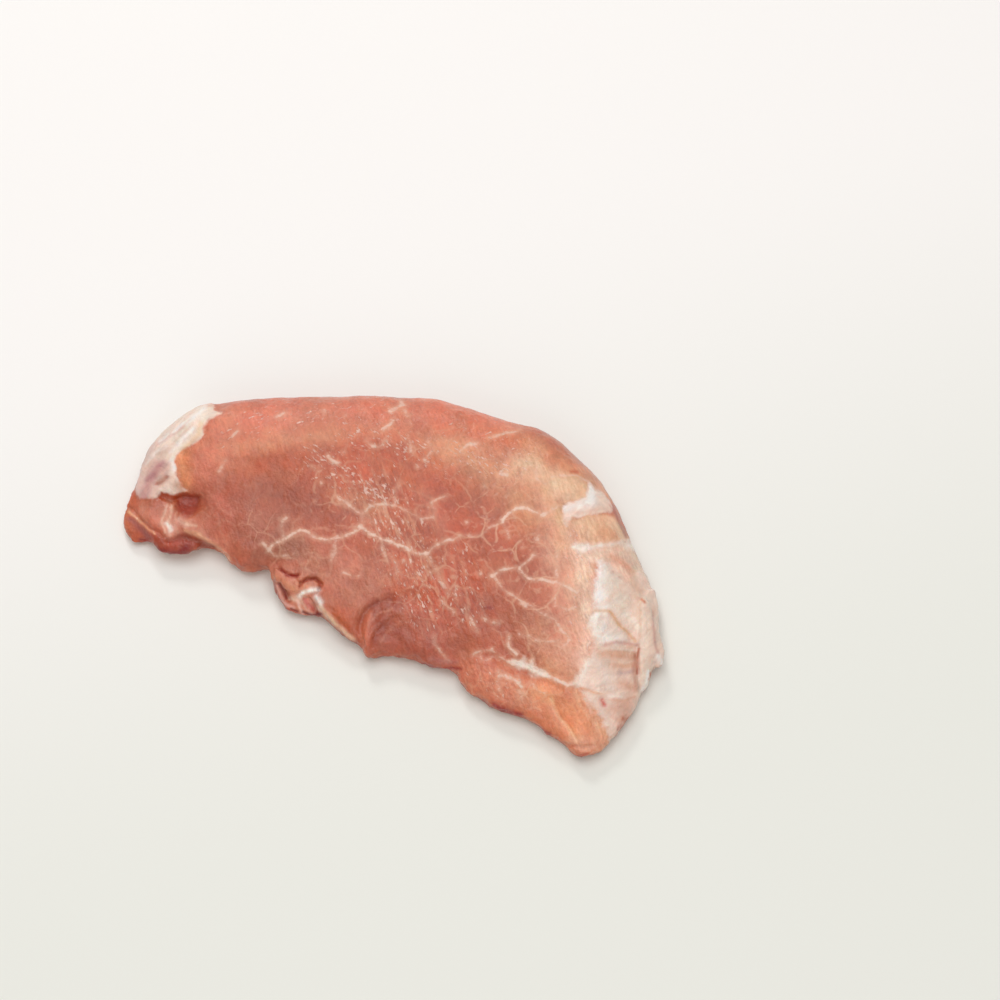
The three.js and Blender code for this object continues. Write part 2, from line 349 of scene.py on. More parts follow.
# The front edge is torn, so the same kind of relief is stronger along it.
TORN_EDGE = [
    (124, 500), (140, 540), (165, 556), (190, 554), (225, 562), (258, 566), (272, 590), (300, 618),
    (350, 644), (366, 662), (400, 655), (430, 668), (458, 672), (474, 694), (500, 712), (545, 736),
    (572, 758), (596, 754), (614, 738),
]
TORN_EDGE_WIDTH = 8
TORN_EDGE_WAVES = [(3.4, 0.9, 6), (1.8, 0.5, 7)]
# Between these heights in metres the relief fades in, so that the slice lies flat.
RELIEF_FROM = 0.0002
RELIEF_FULL = 0.003


def front_share(normals):
    """1 where a point faces the camera, 0 where it faces away."""
    return step_up(normals @ np.array(TO_CAMERA), -0.1, 0.25)


places = mesh_places()
normals = mesh_normals()
pixels = pixels_of(places)
facing = front_share(normals)
# Lines drawn by hand waver, so each point looks a little to the side of where it is.
drawn = pixels + LINE_WOBBLE * wandering(places, LINE_WAVE, 11)

lift = np.zeros(len(places))
for line, width, height in CREASES.values():
    lift += height * facing * stroke_share(drawn, line, width)
for outline, height, softness, wraps in PATCHES.values():
    share = step_up(depth_in_area(drawn, outline), -softness, softness)
    lift += height * share * (1 if wraps else facing)
for wave, height, seed in WAVES:
    lift += height * unevenness(places, wave / 1000, seed)
torn = stroke_share(pixels, TORN_EDGE, TORN_EDGE_WIDTH) * step_up(-normals[:, 2], -0.9, -0.4)
for wave, height, seed in TORN_EDGE_WAVES:
    lift += height * torn * unevenness(places, wave / 1000, seed)

# The flat underside stays flat, and nothing reaches below it.
lift *= step_up(places[:, 2], RELIEF_FROM, RELIEF_FULL)
places = places + normals * lift[:, None] / 1000
places[:, 2] = np.maximum(places[:, 2], 0)
meat.data.vertices.foreach_set("co", places.ravel())
meat.data.update()
meat.data.shade_smooth()
print("relief from", round(lift.min(), 2), "to", round(lift.max(), 2), "mm")

# %% [markdown]
# The paint. Raw pork isn't one pink: it is salmon where the cut edge dries, brown-rose where it is
# thick and dark, peach and tan where another muscle starts, and orange in the lower lobe. Broad soft
# strokes of named colours, laid over each other like washes, give those changes, and finer strokes
# draw the streaks and the dark torn places, much of whose dark is painted shade in creases, gaps and
# under lips. An image would need the slice unwrapped, and nobody could read it. Here the tones are a
# colour on the mesh's points instead, because a wash is soft and needs no finer grid than the points.

# %% Name the colours
# Red, green and blue as a screen shows them, from 0 to 255.
ROSE = (193, 112, 88)
SALMON = (221, 137, 112)
BROWN_ROSE = (176, 102, 82)
BRICK = (191, 100, 75)
RED_ORANGE = (207, 111, 82)
DARK_FOLD = (164, 88, 73)
PEACH = (239, 195, 164)
PALE_SALMON = (231, 157, 125)
TAN = (242, 205, 173)
ORANGE = (236, 158, 119)
PALE_ORANGE = (236, 176, 144)
# These two deep reds are used for painted shade.
SHADE_DEEP_RED = (158, 44, 36)
DARKEST_SHADE = (148, 28, 24)
PINK_BEIGE = (223, 172, 152)
CREAM = (245, 227, 210)
WHITE_FAT = (253, 246, 241)
PINK_FAT = (243, 213, 196)
TAN_FAT = (228, 180, 154)

# The film of water adds this much white light everywhere, so the paint under it is that much deeper.
WATER_SHINE = 0.038
DEEPEST = 0.004


def paint(colour):
    """The linear colour to paint with, for a colour as a screen shows it."""
    parts = np.array(colour) / 255
    light = np.where(parts <= 0.04045, parts / 12.92, ((parts + 0.055) / 1.055) ** 2.4)
    return np.maximum(light - WATER_SHINE, DEEPEST)


def lay_over(tone, colour, share):
    """The tone with a colour laid over it, by a share for each point."""
    return tone + (paint(colour) - tone) * share[:, None]


# %% Wash on the meat's tones
# name: colour, line of the stroke, its half width in pixels and its strength
WASHES = {
    "peach band under the shoulder": (PALE_SALMON, [
        (222, 448), (262, 443), (320, 436), (400, 426)], 13, 0.75),
    "salmon along the shoulder": (SALMON, [(215, 426), (320, 410), (440, 408), (505, 426)], 20, 0.95),
    "light rose over the left end": ((223, 139, 112), [(198, 446), (216, 464)], 19, 0.9),
    "brown rose at the left": (BROWN_ROSE, [(228, 498), (270, 494), (330, 508)], 27, 0.95),
    "brown rose below it": ((181, 112, 93), [(242, 532), (300, 548), (335, 565)], 25, 0.9),
    "brick under the peach band": (BRICK, [(258, 463), (320, 456), (345, 462)], 10, 0.7),
    "red of the middle": (RED_ORANGE, [(352, 458), (400, 468), (428, 476)], 26, 0.85),
    "salmon under the first star": (PALE_SALMON, [(348, 500), (385, 522)], 12, 0.35),
    "brick right of the middle": (BRICK, [(424, 515), (478, 548), (452, 600)], 34, 0.85),
    "salmon toward the right shoulder": ((221, 156, 124), [(456, 446), (492, 468), (512, 492)], 19, 0.85),
    "peach of the right shoulder": (PEACH, [(522, 462), (558, 478), (590, 496)], 21, 0.95),
    "peach cell by the second star": ((214, 148, 115), [(514, 502), (540, 528)], 17, 0.85),
    "brown cell by the right star": ((188, 115, 90), [(504, 582), (534, 602), (498, 612)], 20, 0.8),
    "salmon above the seam": ((214, 148, 120), [(540, 628), (556, 660)], 17, 0.85),
    "pale salmon before the wall": ((229, 173, 147), [(560, 556), (578, 612), (568, 664)], 18, 0.85),
    "peach along the wall": ((243, 210, 190), [(580, 552), (589, 590), (588, 640), (582, 664)], 9, 0.85),
    "pale veil left of the tan muscle": ((242, 208, 184), [
        (564, 524), (570, 545), (580, 562), (582, 588)], 9, 0.85),
    "pale veil right of the second star": ((230, 180, 154), [(547, 500), (553, 525), (551, 556)], 13, 0.6),
    "brick by the right star": (BRICK, [(456, 572), (470, 590), (484, 610)], 14, 0.75),
    "rose below the pocket": ((208, 132, 116), [(214, 500), (226, 510)], 10, 0.6),
    "pale rose under the star": ((214, 144, 122), [(348, 566), (374, 580), (368, 602)], 15, 0.6),
    "pale cell right of the first star": ((212, 138, 114), [(424, 500), (440, 522)], 12, 0.5),
    "brick above the lower edge": ((184, 100, 78), [(430, 624), (462, 608)], 12, 0.5),
    "brown under the start of the seam": ((202, 114, 88), [(478, 662), (498, 669)], 8, 0.6),
    "orange under the scraps": (RED_ORANGE, [(328, 590), (344, 616)], 12, 0.7),
    "rose above the scraps": ((208, 136, 112), [(300, 562), (345, 588)], 14, 0.7),
    "brown along the lower edge": ((186, 105, 87), [(404, 640), (448, 648)], 17, 0.85),
    "salmon of the lower lobe": ((225, 143, 116), [(472, 676), (512, 690)], 20, 0.95),
    "orange of the lower lobe": (ORANGE, [(545, 700), (580, 726)], 26, 0.95),
    "pale orange by the wall": (PALE_ORANGE, [(584, 692), (600, 724), (606, 742)], 9, 0.75),
    "pale tip of the lobe": ((240, 178, 150), [(574, 742), (592, 746), (606, 742)], 9, 0.85),
    "orange corner beside the left fat": ((238, 163, 120), [(180, 454), (182, 468), (188, 482)], 9, 0.8),
    "rose beside the orange corner": ((213, 133, 110), [(202, 466), (204, 488)], 10, 0.8),
    "dark of the fold": (DARK_FOLD, [(395, 606), (376, 608), (384, 634), (398, 640)], 11, 0.75),
    "peach left of the notch": ((234, 184, 150), [(546, 494), (560, 518), (562, 545)], 9, 0.8),
    "orange under the rim": ((216, 128, 96), [(438, 426), (480, 436), (520, 444)], 7, 0.7),
    "pale salmon below the rim": ((229, 158, 127), [(424, 441), (500, 448)], 9, 0.6),
    "peachy orange of the rim": ((229, 160, 126), [(528, 446), (560, 460), (584, 478)], 9, 0.85),
    "rolled flap": ((214, 138, 116), [(146, 510), (156, 520), (190, 526), (225, 545)], 8, 0.9),
    "lobe at the left end": ((196, 110, 84), [(127, 496), (128, 522), (140, 538)], 7, 0.9),
    "torn scraps": ((226, 158, 134), [(278, 574), (297, 590), (310, 608)], 10, 0.85),
    "body of the roll": ((168, 76, 62), [(152, 540), (166, 548), (182, 540), (205, 543)], 7, 0.95),
}
# How far a wash's edge strays, in pixels, in waves of this many metres. Narrow washes stray less.
STRAY = 6
STRAY_WAVE = 0.010
FULL_STRAY_WIDTH = 18

normals = mesh_normals()
pixels = pixels_of(places)
facing = front_share(normals)
stray = wandering(places, STRAY_WAVE, 21)
meat_tone = np.tile(paint(ROSE), (len(places), 1))
for colour, line, width, strength in WASHES.values():
    at = pixels + min(1, width / FULL_STRAY_WIDTH) * STRAY * stray
    meat_tone = lay_over(meat_tone, colour, strength * facing * stroke_share(at, line, width))
print("washes:", len(WASHES))

# %% Paint the small areas with edges of their own
# name: colour, outline, softness of the edge in pixels and strength
AREAS = {
    "tan muscle on the wall": (TAN, [
        (572, 522), (584, 515), (600, 514), (614, 516), (620, 524), (628, 540), (612, 544), (590, 546),
        (580, 543), (576, 532)], 3, 0.95),
    "pale muscle above the notch": ((240, 199, 168), [
        (549, 482), (565, 477), (580, 479), (588, 486), (587, 493), (580, 499), (566, 502),
        (553, 500)], 4, 0.9),
    "peach below the tan muscle": ((246, 219, 200), [
        (574, 548), (584, 542), (600, 544), (616, 542), (632, 545), (648, 574), (644, 590), (625, 582),
        (612, 570), (598, 564), (586, 560)], 3, 0.95),
    "pocket": ((174, 92, 82), [
        (177, 499), (187, 496), (198, 498), (198, 508), (192, 516), (184, 517), (176, 510)], 3, 0.85),
    # Painted shade: the sunk hollow beside the fold is darkened.
    "hollow beside the fold": ((176, 100, 84), [
        (378, 632), (388, 627), (402, 634), (408, 646), (398, 655), (384, 655), (374, 648)], 4, 0.6),
    "grey-brown under the long vein": ((172, 112, 92), [
        (273, 545), (288, 537), (300, 535), (312, 545), (304, 556), (286, 560), (276, 555)], 4, 0.6),
}
# Fine marks stray in shorter waves, and by fewer pixels.
FINE_STRAY_WAVE = 0.003
AREA_STRAY = 1.5

fine_stray = wandering(places, FINE_STRAY_WAVE, 23)
for colour, outline, softness, strength in AREAS.values():
    inside = step_up(depth_in_area(pixels + AREA_STRAY * fine_stray, outline), -softness, softness)
    meat_tone = lay_over(meat_tone, colour, strength * facing * inside)
print("small areas:", len(AREAS))

# %% Paint the streaks, and the painted shade of the dark torn places
# name: colour, line, half width in pixels and strength
STREAKS = {
    "orange in the tan muscle": ((230, 172, 136), [(602, 532), (616, 535)], 7, 0.5),
    "rose strip on the wall": ((230, 174, 146), [(612, 556), (626, 566), (640, 580)], 4, 0.7),
    # Painted shade in the crease under the fat of the left end.
    "painted shade under the left fat": ((182, 84, 56), [(158, 496), (168, 498), (179, 500)], 3, 0.95),
    # Painted shade along the crease at the pocket's edge.
    "painted shade at the pocket's edge": ((150, 74, 64), [(197, 498), (197, 506), (193, 513)], 1.8, 0.35),
    "veil over the frayed fibres": ((222, 160, 138), [(168, 506), (166, 520), (172, 534)], 6, 0.6),
    "first frayed fibre": ((240, 206, 184), [(167, 504), (164, 513), (162, 524), (165, 532)], 1.3, 0.5),
    "second frayed fibre": ((236, 196, 172), [(172, 506), (170, 516), (168, 526), (171, 535)], 1.5, 0.6),
    "third frayed fibre": ((232, 186, 162), [(176, 513), (174, 524), (178, 533)], 1.2, 0.45),
    "white ends of the fibres": (WHITE_FAT, [(167, 524), (171, 530)], 2.2, 0.8),
    "pale patch right of them": (PINK_BEIGE, [(177, 520), (188, 524)], 3.0, 0.65),
    "flecks toward the rim": ((236, 190, 168), [(186, 523), (196, 526)], 1.3, 0.6),
    "rim of the roll": (PALE_ORANGE, [(185, 530), (199, 535), (212, 543), (222, 551), (229, 559)], 2.2, 0.85),
    # Painted shade under the lip of the roll, and at its bottom where it turns under toward the floor.
    "painted shade below the roll's rim": ((168, 94, 78), [(184, 538), (200, 542), (214, 548)], 2.6, 0.85),
    "painted shade on the roll's underside": ((142, 46, 32), [(152, 548), (166, 553), (178, 554), (187, 547)], 4.5, 0.9),
    "deepest painted shade at the roll's foot": ((146, 26, 14), [(160, 556), (178, 559), (188, 552)], 2.4, 0.9),
    "red end of the lobe": ((208, 104, 76), [(127, 491), (132, 494), (127, 501)], 4, 0.8),
    # Painted highlight: a pale cream-orange line along the lobe.
    "painted highlight along the lobe": ((238, 182, 144), [(129, 511), (136, 518), (147, 528), (154, 533)], 1.3, 0.7),
    "mauve side of the lobe": ((168, 104, 100), [(130, 519), (139, 527), (148, 536)], 3.4, 0.8),
    "brown side of the roll": ((184, 96, 76), [(152, 541), (161, 545), (170, 545)], 3.4, 0.8),
    "orange tip of the lobe": ((208, 114, 66), [(136, 542), (142, 545)], 2, 0.8),
    # Painted shade in the notch between the lobe and the roll.
    "painted shade in the lobe's notch": (SHADE_DEEP_RED, [(139, 539), (147, 541)], 1.6, 0.7),
    # Painted shade in the creases round the torn tongue and flap.
    "painted shade in the crease over the tongue": ((164, 62, 40), [(281, 570), (287, 575), (297, 576)], 1.6, 0.9),
    "painted shade circling the flap": ((172, 74, 50), [
        (300, 586), (304, 581), (314, 579), (321, 584), (319, 591)], 1.4, 0.85),
    "tongue": ((220, 148, 116), [(277, 575), (285, 583), (294, 589)], 2.6, 0.8),
    "flap": ((216, 146, 122), [(304, 586), (314, 584)], 2.4, 0.7),
    "white curl": (WHITE_FAT, [(299, 597), (303, 593), (310, 590), (318, 590)], 2.6, 0.95),
    "cream beside the curl": ((240, 212, 190), [(291, 598), (299, 600), (304, 597)], 2.4, 0.8),
    "pale knot": (PINK_BEIGE, [(294, 597), (301, 602)], 2.4, 0.8),
    "pink hollow": ((198, 104, 96), [(304, 599), (309, 605), (314, 610)], 3, 0.85),
    "pale strip by the hollow": ((238, 196, 184), [(297, 600), (299, 608), (303, 614)], 1.5, 0.8),
    "pink curl": ((230, 174, 158), [(302, 602), (306, 609), (312, 613), (320, 617)], 1.3, 0.8),
    # Painted highlight: a wet glint on the white end of the tail.
    "painted glint on the tail's white end": ((253, 246, 243), [(316, 597), (321, 603), (321, 608)], 2.8, 0.95),
    "white tail": ((240, 200, 172), [(320, 607), (330, 618), (341, 629), (353, 640)], 2.4, 0.9),
    # Painted shade just under the raised white tail.
    "painted shade under the tail": ((154, 66, 52), [(318, 613), (329, 626), (344, 640)], 2.2, 0.85),
    "orange line above the tail": ((196, 104, 74), [(326, 605), (338, 618), (350, 630)], 1.6, 0.7),
    "thin lip": ((232, 174, 162), [(277, 586), (280, 596), (286, 604), (293, 608)], 1.9, 0.9),
    # Painted shade along the outside of the thin lip and in the gap behind it.
    "painted shade outside the thin lip": (DARKEST_SHADE, [(274, 580), (277, 595), (284, 606), (292, 613)], 1.2, 0.5),
    "painted shade behind the thin lip": ((136, 48, 46), [(279, 584), (284, 591), (287, 598)], 1.6, 0.85),
    # Painted shade in the openings under the curl.
    "painted shade in the opening": ((124, 22, 16), [(303, 612), (312, 615), (321, 614)], 1.6, 0.9),
    "painted shade in the small opening": ((124, 22, 16), [(291, 609), (297, 612)], 1.3, 0.85),
    # Painted shade along the outer crease of the fold.
    "outer arc of the fold": ((160, 82, 68), [(390, 600), (376, 603), (366, 611), (361, 622)], 2.4, 0.5),
    "ridge of the fold": ((214, 134, 110), [(371, 613), (366, 628), (365, 648), (366, 658)], 3, 0.7),
    # Painted shade along the inner crease of the fold.
    "inner arc of the fold": ((160, 84, 70), [(388, 624), (378, 630), (374, 640)], 2.4, 0.5),
    "pale line in the fold": ((206, 138, 116), [(392, 609), (380, 613), (372, 620)], 1.5, 0.6),
    "second line in the fold": ((200, 130, 108), [(400, 622), (388, 631), (381, 642)], 1.4, 0.5),
    "orange point of the fold": ((214, 126, 88), [(362, 654), (366, 660), (374, 659)], 2.6, 0.7),
    "pink lower rim": ((192, 128, 118), [(430, 659), (444, 662), (456, 662)], 3, 0.7),
    # Painted shade under the torn bits of the lower rim and in the gaps between them.
    "painted shade under the lower rim": ((156, 56, 40), [(424, 664), (432, 667), (441, 669), (453, 668), (461, 669)], 1.6, 0.8),
    "painted shade in the hollow below the lobe": ((166, 56, 36), [
        (494, 704), (501, 708), (510, 712), (521, 715)], 2.8, 0.95),
    "painted shade in a small gap": ((162, 58, 40), [(541, 730), (549, 734)], 2.2, 0.85),
    "painted shade in the gap on the right": ((166, 66, 48), [(613, 734), (619, 727)], 1.8, 0.85),
    "red of the lowest tip": ((206, 108, 78), [(570, 746), (574, 746)], 2.4, 0.6),
    # Painted shade under the raised lip of the lowest tip.
    "painted shade below the lowest tip's lip": ((184, 88, 74), [(567, 753), (575, 757), (588, 753)], 1.3, 0.75),
    "first swirl of the lobe": ((244, 192, 156), [(576, 690), (579, 704), (586, 713), (598, 727)], 1.9, 0.7),
    "second swirl of the lobe": ((246, 196, 160), [
        (551, 699), (554, 708), (561, 720), (572, 733), (577, 740)], 1.7, 0.85),
    "shade of the second swirl": ((218, 132, 94), [(557, 700), (562, 712), (572, 725)], 2.2, 0.4),
    "third swirl of the lobe": ((238, 172, 138), [(531, 690), (536, 704), (539, 713)], 1.5, 0.6),
    "dark red dot": ((150, 58, 46), [(485, 608), (491, 608)], 2, 0.8),
    "red dot at the shoulder": ((204, 108, 82), [(572, 472), (577, 473)], 2, 0.8),
    "dark line by the right rim": ((170, 96, 84), [(612, 505), (618, 520), (626, 537)], 1.4, 0.7),
}
STREAK_STRAY = 1.2
# Painted shade: the torn rim is darkened to deep red where the side tucks in under the slice, between these
# heights in metres.
RIM_TOP = 0.0042
RIM_BOTTOM = 0.0012
RIM_SHADE_STRENGTH = 0.6


def lay_streaks(tone, streaks, seen):
    """The tone with streaks laid over it; seen is the share of them that each point takes."""
    for colour, line, width, strength in streaks.values():
        share = stroke_share(pixels + STREAK_STRAY * fine_stray, line, width)
        tone = lay_over(tone, colour, strength * seen * share)
    return tone


meat_tone = lay_streaks(meat_tone, STREAKS, facing)
# Painted shade of deep red on the sides that tuck in under the slice.
tucked_shade = step_up(-places[:, 2], -RIM_TOP, -RIM_BOTTOM) * step_up(-normals[:, 2], -0.5, 0.2)
meat_tone = lay_over(meat_tone, SHADE_DEEP_RED, RIM_SHADE_STRENGTH * tucked_shade)
# The underside is plain meat.
meat_tone = lay_over(meat_tone, ROSE, step_up(-normals[:, 2], 0.6, 0.95))
print("streaks:", len(STREAKS))

# %% [markdown]
# The fat. It is a white cap with a mauve skin on the left end, and on the right it covers the sloping
# end and hangs over it as a flap with two tips. It could be a mesh of its own, but it is grown to the
# meat and fades into it, so a seam would show. It is a second set of tones on the same points instead.
# Each point also keeps how deep inside the fat's outlines it lies. Such a distance changes evenly from
# point to point, so the material can draw a crisp edge from it that is finer than the mesh.

# %% Tint the fat
# name: colour, line, half width in pixels and strength
FAT_TINTS = {
    "cream of the left end": (CREAM, [(206, 412), (190, 428), (176, 444), (168, 456)], 11, 0.95),
    "ochre by the meat": ((240, 204, 168), [(201, 424), (198, 434), (191, 443), (183, 450)], 2.6, 0.8),
    "white by the corner": (WHITE_FAT, [(172, 462), (175, 470)], 3, 0.7),
    "white tongue": ((242, 222, 208), [(161, 491), (171, 492)], 4.5, 0.95),
    "orange end of the tongue": ((212, 162, 138), [(177, 484), (183, 491)], 3.5, 0.8),
    "pink above the white": ((222, 184, 166), [(160, 453), (169, 450)], 4, 0.7),
    "grey skin at the rim": ((212, 180, 172), [(152, 444), (140, 466), (134, 492)], 5, 0.8),
    "mauve skin": ((202, 148, 144), [(158, 466), (151, 478), (143, 499)], 7, 0.9),
    "deep mauve": ((192, 134, 136), [(164, 462), (158, 470), (148, 480)], 3, 0.7),
    "pink beside the mauve": ((208, 162, 154), [(163, 473), (168, 464)], 3.5, 0.75),
    "white streaks over the skin": ((240, 224, 216), [(146, 464), (156, 452), (166, 446)], 1.6, 0.8),
    "white fibres above them": (WHITE_FAT, [(160, 442), (176, 430), (192, 418), (204, 409)], 2.2, 0.8),
    "rose between the fibres": ((226, 186, 172), [(156, 446), (170, 436), (184, 427)], 1.4, 0.7),
    "white fibres by the ochre": (WHITE_FAT, [(170, 452), (182, 440), (194, 428)], 2.0, 0.8),
    "second rose between them": ((232, 196, 180), [(172, 444), (186, 431), (198, 420)], 1.2, 0.6),
    "pink strip at the skin's edge": ((222, 180, 174), [(139, 476), (137, 492)], 2, 0.7),
    "pale streak on the skin": ((224, 184, 172), [(168, 470), (160, 482), (155, 492)], 2.4, 0.7),
    "slit in the left fat": ((184, 104, 84), [(157, 484), (162, 481), (167, 477)], 2.2, 0.85),
    "white line under the tan muscle": ((250, 234, 222), [(575, 548), (606, 545), (634, 547)], 5, 0.9),
    "white middle of the seam": ((250, 232, 218), [(512, 663), (530, 668), (548, 677)], 5, 0.9),
    "white ridge of the wall": (WHITE_FAT, [(599, 566), (600, 590), (602, 606)], 9, 0.95),
    "white of the notch": (WHITE_FAT, [(566, 506), (578, 505), (590, 502), (592, 490)], 6, 0.9),
    "pink band of the notch": ((236, 200, 182), [(574, 513), (592, 510), (608, 508)], 1.6, 0.8),
    "white below the ridge": ((252, 240, 230), [(596, 618), (602, 636), (616, 640)], 9, 0.95),
    "cream of the upper wall": (CREAM, [(612, 582), (620, 604)], 11, 0.9),
    "pink of the upper wall": ((232, 192, 168), [(626, 566), (638, 592), (642, 620)], 6, 0.75),
    "yellow line": ((228, 186, 150), [(592, 610), (607, 611)], 1.8, 0.8),
    "yellow wrinkle": ((226, 172, 130), [(609, 611), (616, 620), (624, 629), (635, 641)], 1.9, 0.85),
    "pale fold above it": ((246, 228, 212), [(620, 610), (632, 620), (641, 629)], 3.4, 0.8),
    "window of fibres": (TAN_FAT, [(602, 653), (632, 652), (632, 667), (612, 664)], 6.5, 0.95),
    "brown in the window": ((212, 160, 146), [(605, 645), (617, 642), (637, 645)], 2, 0.75),
    "pale fibre": ((242, 216, 200), [(600, 648), (618, 649), (636, 650)], 1.4, 0.8),
    "dark fibre": ((212, 152, 124), [(612, 656), (637, 656)], 2.4, 0.6),
    "second pale fibre": ((238, 208, 188), [(608, 661), (624, 662), (637, 661)], 1.3, 0.8),
    "third pale fibre": ((236, 204, 186), [(612, 669), (636, 669)], 1.2, 0.7),
    "mauve fibre": ((214, 178, 170), [(619, 673), (636, 672)], 2.6, 0.85),
    "tan below the window": ((220, 168, 144), [(622, 684), (634, 688)], 5.5, 0.85),
    "white wedge": ((250, 234, 220), [(589, 658), (583, 670), (575, 683)], 5, 0.95),
    "pale patch": ((238, 214, 200), [(602, 668), (610, 688)], 8, 0.85),
    "rose under the red slit": ((222, 172, 152), [(614, 708), (628, 704), (622, 722)], 7, 0.8),
    "pale lower patch": ((240, 214, 198), [(588, 700), (598, 712), (606, 728)], 5, 0.85),
    "orange threads above the slit": ((228, 160, 118), [(580, 688), (592, 692), (606, 694)], 1.6, 0.7),
    "white threads beside them": ((248, 230, 218), [(598, 690), (610, 696), (622, 697)], 1.6, 0.7),
    "tan threads low on the wall": ((224, 166, 138), [(614, 700), (624, 701), (634, 697)], 1.6, 0.6),
    "second tan thread": ((226, 170, 146), [(612, 716), (620, 722)], 1.6, 0.6),
    "cream of the flap": ((240, 216, 198), [(645, 600), (646, 640), (644, 684)], 6, 0.95),
    "white rim of the flap": (WHITE_FAT, [(649, 672), (647, 682), (642, 690)], 2, 0.8),
    "white tip of the tail": (WHITE_FAT, [(658, 656), (662, 664)], 3, 0.9),
    # Painted shadow that the flap casts on its left: a red line, and a wider shade beside it.
    "painted shadow left of the flap": ((186, 92, 68), [(639, 649), (637, 658), (637, 674)], 1.5, 0.8),
    "shade left of the flap": ((206, 146, 124), [(635, 654), (634, 672), (637, 688)], 2.6, 0.6),
    "dark line right of the flap": ((204, 148, 138), [(653, 612), (654, 640), (658, 652)], 1.4, 0.6),
    "slit in the right fat": ((208, 60, 30), [(602, 700), (604, 705)], 2.3, 0.95),
    "orange dot": ((214, 118, 78), [(642, 599), (645, 602)], 1.5, 0.8),
}
fat_tone = lay_streaks(np.tile(paint(PINK_FAT), (len(places), 1)), FAT_TINTS, 1)
print("tints of the fat:", len(FAT_TINTS))

# %% Say how deep in the fat each point lies
# Two strips of fat are too thin to stand proud of the meat, so they are painted alone.
FAT_LINE = [
    (573, 547), (578, 542), (588, 542), (592, 545), (606, 545), (622, 541), (630, 542), (636, 545),
    (642, 555), (634, 551), (626, 546), (620, 544), (606, 547), (592, 549), (585, 552), (578, 552),
]
FAT_SEAM = [
    (511, 661), (516, 663), (524, 658), (526, 664), (532, 660), (533, 667), (540, 671), (551, 677),
    (545, 677), (536, 675), (528, 670), (519, 668),
]
# Each fat's outline, and how crisp its edge is: 1 is a cut edge, and less fades into the meat.
FAT_EDGES = [
    (LEFT_FAT, 0.8), (FAT_NOTCH, 0.6), (FAT_LINE, 0.45), (FAT_SEAM, 0.4), (WALL_FAT, 0.3), (FAT_FLAP, 1.0),
]
FAT_STRAY = 2.5

fat_depth = np.max([
    crispness * depth_in_area(pixels + FAT_STRAY * fine_stray, outline) for outline, crispness in FAT_EDGES
], axis=0)
# No fat lies on what faces down.
fat_depth *= MM_PER_PIXEL * step_up(normals[:, 2], -0.5, 0.1)
print("points in the fat:", int(np.sum(fat_depth > 0)))
